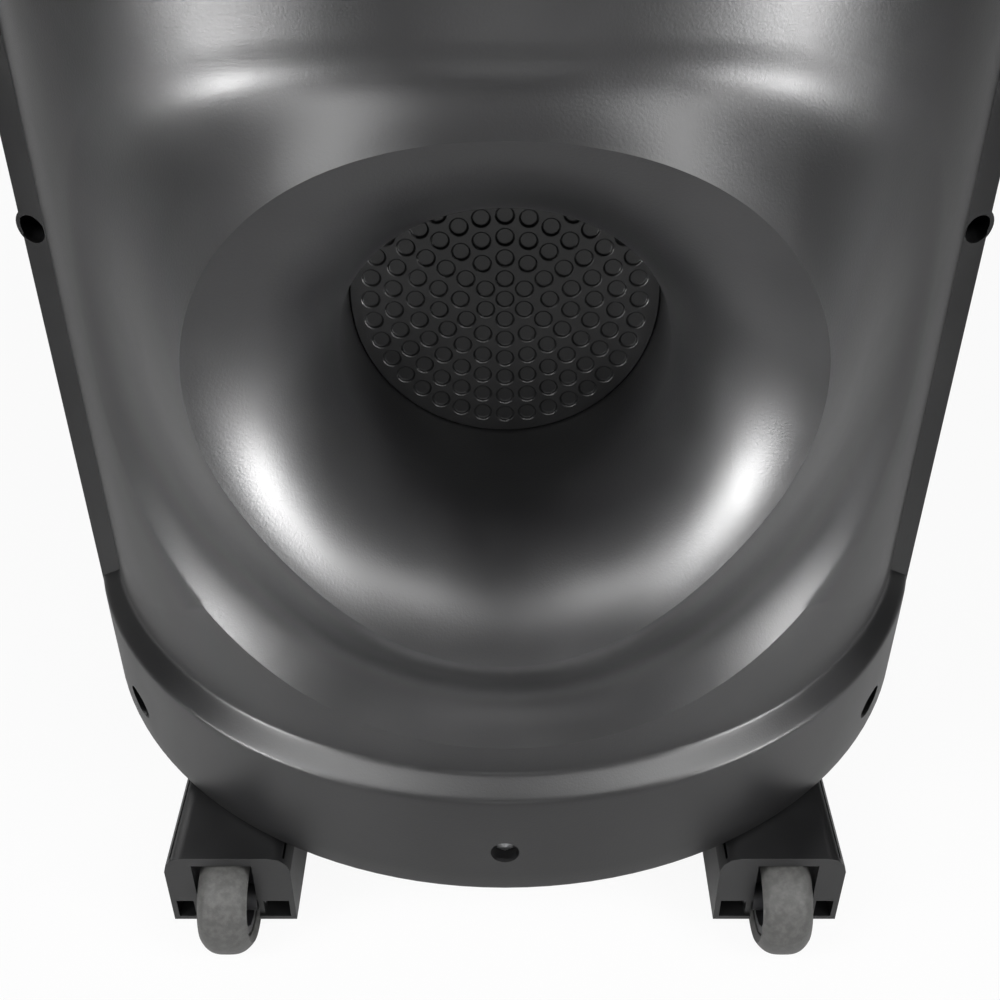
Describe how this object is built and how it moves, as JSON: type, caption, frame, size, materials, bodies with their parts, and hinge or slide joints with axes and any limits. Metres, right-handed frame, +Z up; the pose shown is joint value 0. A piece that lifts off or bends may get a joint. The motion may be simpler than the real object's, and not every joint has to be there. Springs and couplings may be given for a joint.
{
  "type": "trolley party speaker",
  "caption": "A black trolley party speaker on rear wheels, with a half-round rear shell and a deep flared dish with a dimpled disc in its back",
  "frame": {"origin": "on the floor, under the middle of the object's bounding box", "axes": "+Z up, the dish in the rear wall faces -Y, the grille faces +Y, +X is to the right seen from behind"},
  "size_m": [0.4308, 0.362, 0.6916],
  "materials": {
    "shell_plastic": "black moulded plastic with a fine spark-eroded grain",
    "trim_plastic": "dark grey smooth satin plastic",
    "steel": "plated steel",
    "painted_steel": "black painted steel",
    "rubber": "matt black rubber",
    "wheel_rubber": "grey rubber tread, lightly dusty",
    "cone_plastic": "black pressed cone",
    "battery_plastic": "dark battery case",
    "board_plastic": "green circuit board",
    "aluminium": "plain aluminium",
    "dark_glass": "dark clear window"
  },
  "bodies": {
    "cabinet": {"rear_shell": "shell_plastic", "front_shell": "shell_plastic", "dish_moulding": "shell_plastic", "dish_disc": "shell_plastic", "wheel_housing_left": "shell_plastic", "wheel_housing_right": "shell_plastic", "front_foot_left": "shell_plastic", "front_foot_right": "shell_plastic", "control_panel": "trim_plastic", "tweeter_horn": "trim_plastic", "handle_tray": "trim_plastic", "power_inlet": "trim_plastic", "mic_jack": "steel", "guitar_jack": "steel", "usb_port": "steel", "woofer_yoke": "steel", "wheel_axle_left": "steel", "guide_tube_left": "steel", "lower_screw_left": "steel", "side_screw_left": "steel", "upper_screw_left": "steel", "wheel_axle_right": "steel", "guide_tube_right": "steel", "lower_screw_right": "steel", "side_screw_right": "steel", "upper_screw_right": "steel", "base_screw": "steel", "front_grille": "painted_steel", "woofer_basket": "painted_steel", "woofer_magnet": "painted_steel", "tweeter_driver": "painted_steel", "woofer_surround": "rubber", "carry_handle": "rubber", "foot_pad_left": "rubber", "foot_pad_right": "rubber", "battery": "battery_plastic", "amplifier_board": "board_plastic", "heat_sink": "aluminium", "display_window": "dark_glass"},
    "wheel_left": {"wheel_tyre_left": "wheel_rubber", "wheel_hub_left": "trim_plastic"},
    "wheel_right": {"wheel_tyre_right": "wheel_rubber", "wheel_hub_right": "trim_plastic"},
    "trolley": {"handle_tube_left": "steel", "handle_tube_right": "steel", "handle_grip": "trim_plastic"},
    "release": {"handle_button": "trim_plastic"},
    "cone": {"woofer_cone": "cone_plastic", "dust_cap": "cone_plastic"},
    "volume": {"volume_knob": "trim_plastic"},
    "mic": {"mic_knob": "trim_plastic"},
    "echo": {"echo_knob": "trim_plastic"},
    "bass": {"bass_knob": "trim_plastic"},
    "treble": {"treble_knob": "trim_plastic"},
    "mode": {"mode_button": "trim_plastic"},
    "previous": {"previous_button": "trim_plastic"},
    "play": {"play_button": "trim_plastic"},
    "next": {"next_button": "trim_plastic"},
    "light": {"light_button": "trim_plastic"},
    "rocker": {"power_rocker": "trim_plastic"}
  },
  "joints": [
    {"name": "wheel_left_roll", "type": "hinge", "parent": "cabinet", "child": "wheel_left", "pos_m": [-0.1245, -0.156, 0.025], "axis": [1, 0, 0], "continuous": true},
    {"name": "wheel_right_roll", "type": "hinge", "parent": "cabinet", "child": "wheel_right", "pos_m": [0.1245, -0.156, 0.025], "axis": [1, 0, 0], "continuous": true},
    {"name": "trolley_slide", "type": "slide", "parent": "cabinet", "child": "trolley", "axis": [0, 0, 1], "range_m": [0, 0.35]},
    {"name": "release_press", "type": "slide", "parent": "trolley", "child": "release", "axis": [0, 0, 1], "range_m": [-0.003, 0], "stiffness_N_per_m": 500},
    {"name": "cone_stroke", "type": "slide", "parent": "cabinet", "child": "cone", "axis": [0, 1, 0], "range_m": [-0.004, 0.004], "stiffness_N_per_m": 3000},
    {"name": "mic_turn", "type": "hinge", "parent": "cabinet", "child": "mic", "pos_m": [-0.0752, -0.1533, 0.52648], "axis": [0, 1, 0], "range_deg": [0, 300]},
    {"name": "echo_turn", "type": "hinge", "parent": "cabinet", "child": "echo", "pos_m": [-0.04888, -0.1533, 0.52648], "axis": [0, 1, 0], "range_deg": [0, 300]},
    {"name": "volume_turn", "type": "hinge", "parent": "cabinet", "child": "volume", "pos_m": [0, -0.1533, 0.52648], "axis": [0, 1, 0], "range_deg": [0, 300]},
    {"name": "bass_turn", "type": "hinge", "parent": "cabinet", "child": "bass", "pos_m": [0.04888, -0.1533, 0.52648], "axis": [0, 1, 0], "range_deg": [0, 300]},
    {"name": "treble_turn", "type": "hinge", "parent": "cabinet", "child": "treble", "pos_m": [0.0752, -0.1533, 0.52648], "axis": [0, 1, 0], "range_deg": [0, 300]},
    {"name": "mode_press", "type": "slide", "parent": "cabinet", "child": "mode", "axis": [0, 1, 0], "range_m": [0, 0.0015], "stiffness_N_per_m": 300},
    {"name": "previous_press", "type": "slide", "parent": "cabinet", "child": "previous", "axis": [0, 1, 0], "range_m": [0, 0.0015], "stiffness_N_per_m": 300},
    {"name": "play_press", "type": "slide", "parent": "cabinet", "child": "play", "axis": [0, 1, 0], "range_m": [0, 0.0015], "stiffness_N_per_m": 300},
    {"name": "next_press", "type": "slide", "parent": "cabinet", "child": "next", "axis": [0, 1, 0], "range_m": [0, 0.0015], "stiffness_N_per_m": 300},
    {"name": "light_press", "type": "slide", "parent": "cabinet", "child": "light", "axis": [0, 1, 0], "range_m": [0, 0.0015], "stiffness_N_per_m": 300},
    {"name": "rocker_tip", "type": "hinge", "parent": "cabinet", "child": "rocker", "pos_m": [0.03196, -0.1449, 0.4876], "axis": [1, 0, 0], "range_deg": [-7, 7]}
  ]
}
